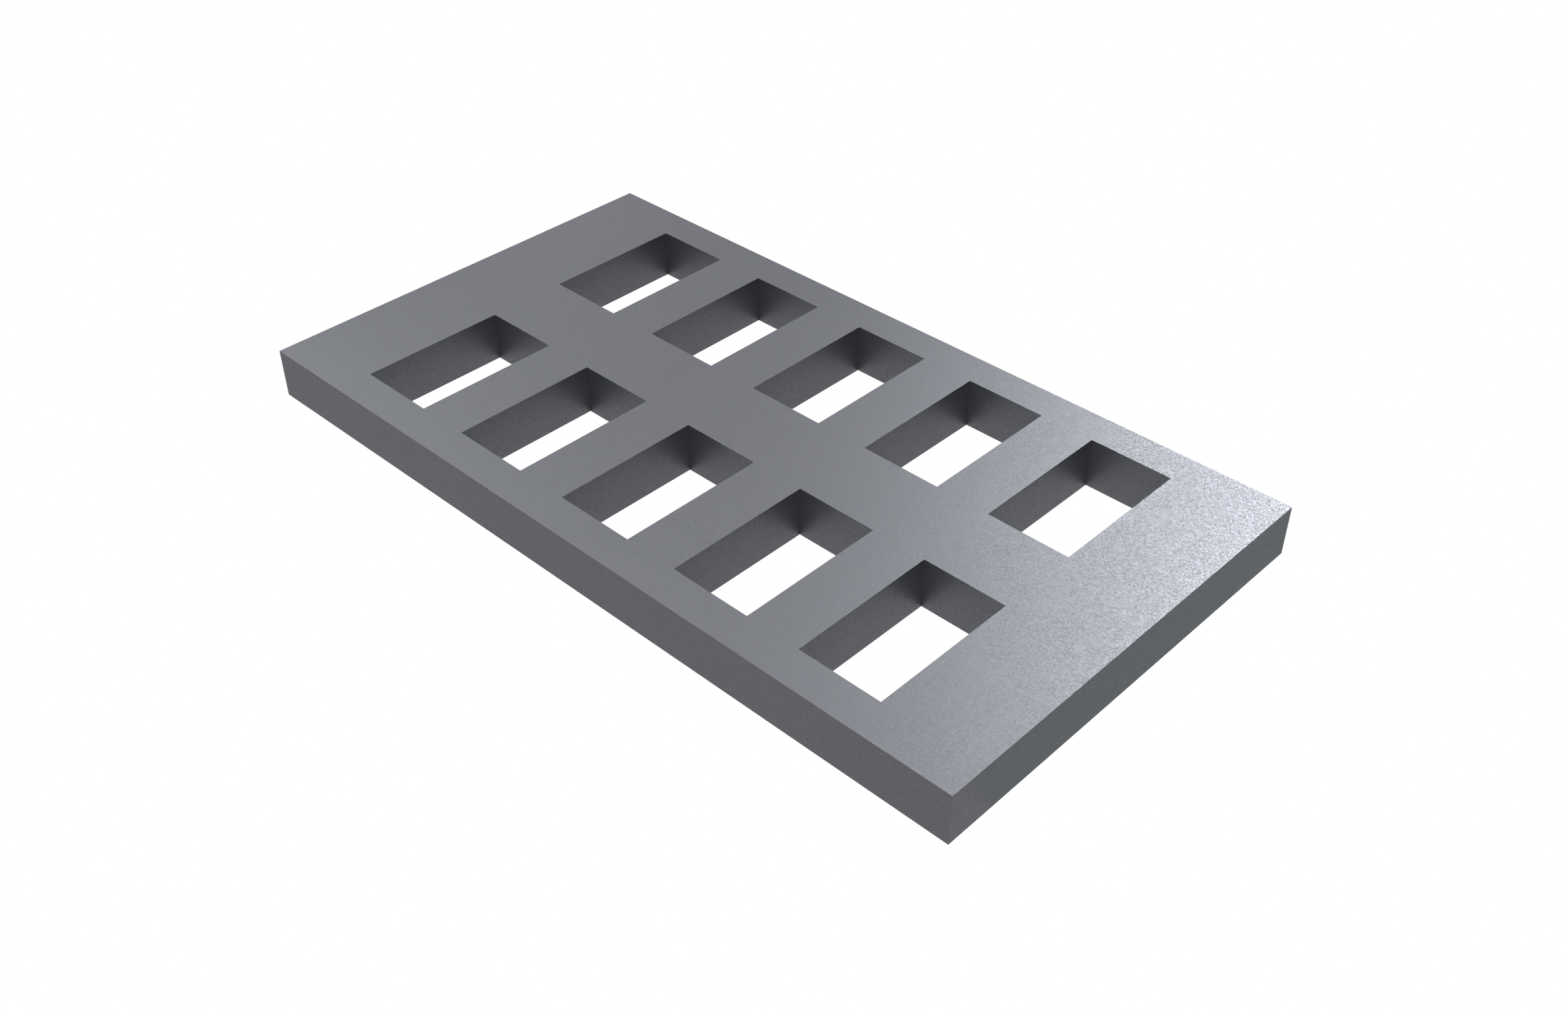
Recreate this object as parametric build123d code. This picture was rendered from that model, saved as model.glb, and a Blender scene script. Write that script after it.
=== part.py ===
"""Queen excluder plate for a mating box or a cage: one flat metal plate, cut right through by
two columns of rectangular bee slots.

Millimetres. The origin is the centre of the underside, +X runs along the plate's length,
+Y runs across its two columns of slots, and +Z is up through its thickness.
"""
from build123d import *
import os

# Driving dimensions.
slot_width = 4.2  # along X: lets a worker's thorax through and stops a queen's
slot_length = 7.53  # along Y
slots_per_column = 5
column_count = 2
bar_width = slot_width * 2 / 3  # the metal left between neighbours in a column
centre_web = slot_width  # the metal left between the two columns
side_rim = 1.82  # the metal left outside each column, along the long edges
thickness = 2.53

# Worked out from them.
slot_pitch = slot_width + bar_width
column_pitch = slot_length + centre_web
plate_length = slot_pitch * (slots_per_column + 1)
plate_width = column_pitch * (column_count - 1) + slot_length + 2 * side_rim
through_cut = 2 * thickness  # a cutter this tall, centred on the plate, passes both faces


def make_blank():
    """The plate before its slots are cut, standing on the XY plane."""
    return Box(plate_length, plate_width, thickness, align=(Align.CENTER, Align.CENTER, Align.MIN))


def make_slot_cutters():
    """One square-cornered cutter for each slot, in a grid about the plate's middle."""
    cutter = Box(slot_width, slot_length, through_cut)
    grid = GridLocations(slot_pitch, column_pitch, slots_per_column, column_count)
    return [Pos(0, 0, thickness / 2) * place * cutter for place in grid]


def make_excluder_plate():
    """The finished plate: a single piece with sharp edges and no fixing holes."""
    plate = make_blank() - make_slot_cutters()
    plate.label = "excluder_plate"
    return plate


def main():
    plate = make_excluder_plate()
    os.makedirs("parts", exist_ok=True)
    export_step(plate, f"parts/{plate.label}.step")
    end_rim = (plate_length - slot_pitch * (slots_per_column - 1) - slot_width) / 2
    print(f"plate {plate_length:.2f} x {plate_width:.2f} x {thickness:.2f} mm")
    print(f"slots {slots_per_column * column_count}, each {slot_width:.2f} x {slot_length:.2f} mm")
    print(f"rims {side_rim:.2f} mm along the sides and {end_rim:.2f} mm at the ends")
    print(f"volume {plate.volume:.1f} mm3, open area {1 - plate.volume / make_blank().volume:.0%}")


main()
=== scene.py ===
"""The look of the queen excluder plate: one satin steel plate with rows of square-cornered slots.

It lies on a plain white floor under soft studio light, and the camera looks down at it over one
corner. Lengths are in metres unless a name says millimetres.
"""
import math

import bpy
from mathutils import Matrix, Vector


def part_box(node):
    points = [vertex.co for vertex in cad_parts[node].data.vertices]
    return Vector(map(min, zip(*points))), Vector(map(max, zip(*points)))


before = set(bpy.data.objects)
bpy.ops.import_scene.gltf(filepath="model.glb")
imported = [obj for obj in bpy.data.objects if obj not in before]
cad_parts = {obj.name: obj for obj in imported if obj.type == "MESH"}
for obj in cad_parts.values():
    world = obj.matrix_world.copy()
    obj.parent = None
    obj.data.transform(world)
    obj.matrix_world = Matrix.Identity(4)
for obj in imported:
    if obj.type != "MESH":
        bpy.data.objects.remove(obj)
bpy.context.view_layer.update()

MM = 0.001
PLATE = "excluder_plate"
plate_low, plate_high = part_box(PLATE)
plate_middle = (plate_low + plate_high) / 2
plate_length, plate_width, plate_thickness = plate_high - plate_low

# Camera, about the plate.
CAMERA_AZIMUTH = 43.67  # degrees round from looking along +Y
CAMERA_ELEVATION = 37.58
CAMERA_DISTANCE = 74.28 * MM
CAMERA_LENS = 38.81  # in millimetres, as the sensor's width is
CAMERA_SENSOR = 36.0
AIM = Vector((0.099 * plate_length, -0.102 * plate_width, 0))  # from the plate's middle

# Steel, with the darkest grain's value before the brightest one's.
STEEL_TONES = ((0.1765, 0.1825, 0.189), (0.201, 0.208, 0.2155))
STEEL_ROUGHNESS = (0.53, 0.402)
GRAIN_SIZE = 0.05 * MM
GRAIN_TONE = 0.95  # the grain's share of the difference in tone, with the rest for the clouding
GRAIN_LEAN = 0.03  # range of a grain's lean along each axis, about, in radians
CLOUD_SIZE = 3.5 * MM  # of the faint clouding in tone and roughness
CLOUD_SPAN = (0.3, 0.7)  # the part of the noise's range that makes the clouding

# Studio.
LIGHT_DISTANCE = 0.6
FLOOR_SIZE = 6.0
FLOOR_GAP = 0.01 * MM  # keeps the floor off the underside
LIGHT_COLOUR = (1.0, 1.0, 1.06)  # of everything that glows but the cards
FLOOR_GLOW = 0.615
CARD_WIDTH = 60 * MM
FRONT_CARD = {"colour": (1.05, 1.0, 1.08), "glow": 0.60}
END_CARD = {"colour": (0.96, 1.0, 1.03), "glow": 0.56}
HORIZON_GLOW = 0.3  # of the room, low down
HORIZON_SHARPNESS = 6.7
ROOM_GLOW = 0.014  # and high up


def direction(azimuth, elevation):
    """A unit vector, with its azimuth in degrees round from +X towards +Y."""
    a, e = math.radians(azimuth), math.radians(elevation)
    return Vector((math.cos(e) * math.cos(a), math.cos(e) * math.sin(a), math.sin(e)))


def add_to_scene(name, data):
    thing = bpy.data.objects.new(name, data)
    bpy.context.scene.collection.objects.link(thing)
    return thing


def add_node(tree, kind, links=None, **values):
    """A new node with sockets set by name, and links from other nodes' sockets."""
    node = tree.nodes.new(kind)
    for name, value in values.items():
        node.inputs[name.replace("_", " ")].default_value = value
    for name, socket in (links or {}).items():
        tree.links.new(socket, node.inputs[name.replace("_", " ")])
    return node


def math_node(tree, operation, *operands):
    """A Math node. Each operand is a number or another node's socket."""
    node = tree.nodes.new("ShaderNodeMath")
    node.operation = operation
    for place, operand in enumerate(operands):
        if isinstance(operand, (int, float)):
            node.inputs[place].default_value = operand
        else:
            tree.links.new(operand, node.inputs[place])
    return node.outputs["Value"]


def vector_node(tree, operation, *operands):
    """A Vector Math node. Each operand is a triple of numbers or another node's socket."""
    node = tree.nodes.new("ShaderNodeVectorMath")
    node.operation = operation
    for place, operand in enumerate(operands):
        if isinstance(operand, tuple):
            node.inputs[place].default_value = operand
        else:
            tree.links.new(operand, node.inputs[place])
    return node.outputs["Vector"]


def make_satin_steel():
    """Steel with a fine, even grain that has no direction.

    Each grain has a tone of its own and leans a little its own way, and the brighter ones are smoother.
    """
    steel = bpy.data.materials.new("satin_steel")
    steel.use_nodes = True
    tree = steel.node_tree
    shader = tree.nodes["Principled BSDF"]
    shader.inputs["Metallic"].default_value = 1.0

    place = add_node(tree, "ShaderNodeTexCoord").outputs["Object"]
    grains = add_node(tree, "ShaderNodeTexVoronoi", {"Vector": place}, Scale=1 / GRAIN_SIZE)
    chance = grains.outputs["Color"]  # three random numbers for each grain
    grain = add_node(tree, "ShaderNodeSeparateXYZ", {"Vector": chance}).outputs["X"]
    clouds = add_node(tree, "ShaderNodeTexNoise", {"Vector": place}, Scale=1 / CLOUD_SIZE, Detail=4.0)
    cloud = add_node(tree, "ShaderNodeMapRange", {"Value": clouds.outputs["Fac"]},
                     From_Min=CLOUD_SPAN[0], From_Max=CLOUD_SPAN[1]).outputs["Result"]
    tone = math_node(tree, "ADD", math_node(tree, "MULTIPLY", grain, GRAIN_TONE),
                     math_node(tree, "MULTIPLY", cloud, 1 - GRAIN_TONE))

    tones = add_node(tree, "ShaderNodeValToRGB", {"Fac": tone})
    for element, colour in zip(tones.color_ramp.elements, STEEL_TONES):
        element.color = (*colour, 1)
    tree.links.new(tones.outputs["Color"], shader.inputs["Base Color"])

    darkest, brightest = STEEL_ROUGHNESS
    roughness = add_node(tree, "ShaderNodeMapRange", {"Value": tone}, To_Min=darkest, To_Max=brightest)
    tree.links.new(roughness.outputs["Result"], shader.inputs["Roughness"])

    lean = vector_node(tree, "SUBTRACT", chance, (0.5,) * 3)
    lean = vector_node(tree, "MULTIPLY", lean, (GRAIN_LEAN,) * 3)
    face = add_node(tree, "ShaderNodeNewGeometry").outputs["Normal"]
    leaning_face = vector_node(tree, "NORMALIZE", vector_node(tree, "ADD", face, lean))
    tree.links.new(leaning_face, shader.inputs["Normal"])
    return steel


def finish_plate(plate):
    plate.data.materials.clear()
    plate.data.materials.append(make_satin_steel())


def show_white(tree, glow, kind):
    """Shows plain white to the camera, and the glow to everything else."""
    seen = add_node(tree, "ShaderNodeLightPath").outputs["Is Camera Ray"]
    white = add_node(tree, kind, Color=(1, 1, 1, 1), Strength=1.0)
    mix = tree.nodes.new("ShaderNodeMixShader")
    for place, socket in enumerate((seen, glow.outputs[0], white.outputs[0])):
        tree.links.new(socket, mix.inputs[place])
    return mix.outputs["Shader"]


def make_sheet(name, low, high, height, colour, glow):
    """A level sheet under or beside the plate. It shows white, and the metal sees its own glow."""
    mesh = bpy.data.meshes.new(name)
    corners = ((low.x, low.y), (high.x, low.y), (high.x, high.y), (low.x, high.y))
    mesh.from_pydata([(x, y, height) for x, y in corners], [], [(0, 1, 2, 3)])
    finish = bpy.data.materials.new(name)
    finish.use_nodes = True
    tree = finish.node_tree
    tree.nodes.clear()
    own = add_node(tree, "ShaderNodeEmission", Color=(*colour, 1), Strength=glow)
    add_node(tree, "ShaderNodeOutputMaterial", {"Surface": show_white(tree, own, "ShaderNodeEmission")})
    mesh.materials.append(finish)
    add_to_scene(name, mesh)


def make_floor():
    """A white floor, with cards in front of the plate, off its near corner, and beside its end.

    The cards give the plate's two near sides their slightly different tints.
    """
    half = Vector((FLOOR_SIZE / 2, FLOOR_SIZE / 2, 0))
    make_sheet("floor", -half, half, -FLOOR_GAP, LIGHT_COLOUR, FLOOR_GLOW)
    reach = Vector((CARD_WIDTH, CARD_WIDTH, 0))
    near, far = plate_low - reach, plate_high + reach
    corner = Vector((plate_high.x, plate_low.y, 0))
    turn = corner + Vector((0, plate_thickness, 0))  # where the end card starts
    card_height = -FLOOR_GAP / 2
    corner_low, corner_high = Vector((turn.x, near.y, 0)), Vector((far.x, turn.y, 0))
    make_sheet("front_card", near, corner, card_height, **FRONT_CARD)
    make_sheet("corner_card", corner_low, corner_high, card_height, **FRONT_CARD)
    make_sheet("end_card", turn, far, card_height, **END_CARD)


def make_room():
    """A white room. What it gives the metal fades from the horizon upwards."""
    room = bpy.data.worlds.new("room")
    bpy.context.scene.world = room
    room.use_nodes = True
    tree = room.node_tree
    tree.nodes.clear()
    way = add_node(tree, "ShaderNodeTexCoord").outputs["Generated"]
    height = add_node(tree, "ShaderNodeSeparateXYZ", {"Vector": way}).outputs["Z"]
    fall = math_node(tree, "POWER", math_node(tree, "MULTIPLY", height, HORIZON_SHARPNESS), 2.0)
    low_glow = math_node(tree, "DIVIDE", HORIZON_GLOW, math_node(tree, "EXPONENT", fall))
    strength = math_node(tree, "ADD", low_glow, ROOM_GLOW)
    glow = add_node(tree, "ShaderNodeBackground", {"Strength": strength}, Color=(*LIGHT_COLOUR, 1))
    add_node(tree, "ShaderNodeOutputWorld", {"Surface": show_white(tree, glow, "ShaderNodeBackground")})


def make_softbox(name, azimuth, elevation, half_width, half_height, brightness):
    """A soft rectangular light that faces the plate. Its half sizes are for a distance of one."""
    light = bpy.data.lights.new(name, "AREA")
    light.shape = "RECTANGLE"
    light.size = 2 * half_width * LIGHT_DISTANCE
    light.size_y = 2 * half_height * LIGHT_DISTANCE
    light.energy = brightness * math.pi * light.size * light.size_y
    light.color = LIGHT_COLOUR
    softbox = add_to_scene(name, light)
    towards = direction(azimuth, elevation)
    softbox.location = plate_middle + towards * LIGHT_DISTANCE
    softbox.rotation_mode = "QUATERNION"
    softbox.rotation_quaternion = towards.to_track_quat("Z", "Y")
    softbox.visible_camera = False


def make_camera():
    lens = bpy.data.cameras.new("camera")
    lens.lens = CAMERA_LENS
    lens.sensor_width = CAMERA_SENSOR
    lens.clip_start = 1 * MM
    camera = add_to_scene("camera", lens)
    back = direction(CAMERA_AZIMUTH - 90, CAMERA_ELEVATION)
    camera.location = plate_middle + AIM + back * CAMERA_DISTANCE
    camera.rotation_mode = "QUATERNION"
    camera.rotation_quaternion = back.to_track_quat("Z", "Y")
    bpy.context.scene.camera = camera


def main():
    finish_plate(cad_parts[PLATE])
    make_floor()
    make_room()
    # Beyond the plate as the camera sees it, so the upper face reflects all three.
    make_softbox("key", azimuth=103.6, elevation=38.9, half_width=0.159, half_height=0.106, brightness=25.3)
    make_softbox("high", azimuth=187.4, elevation=50.1, half_width=0.337, half_height=0.16, brightness=11.15)
    make_softbox("low", azimuth=142.4, elevation=14.6, half_width=0.085, half_height=0.172, brightness=2.16)
    # On the camera's side, for what faces it, so that no view of the plate is nearly black.
    make_softbox("fill", azimuth=315, elevation=24, half_width=0.42, half_height=0.27, brightness=2.5)
    make_camera()
    bpy.context.scene.view_settings.view_transform = "Standard"


main()
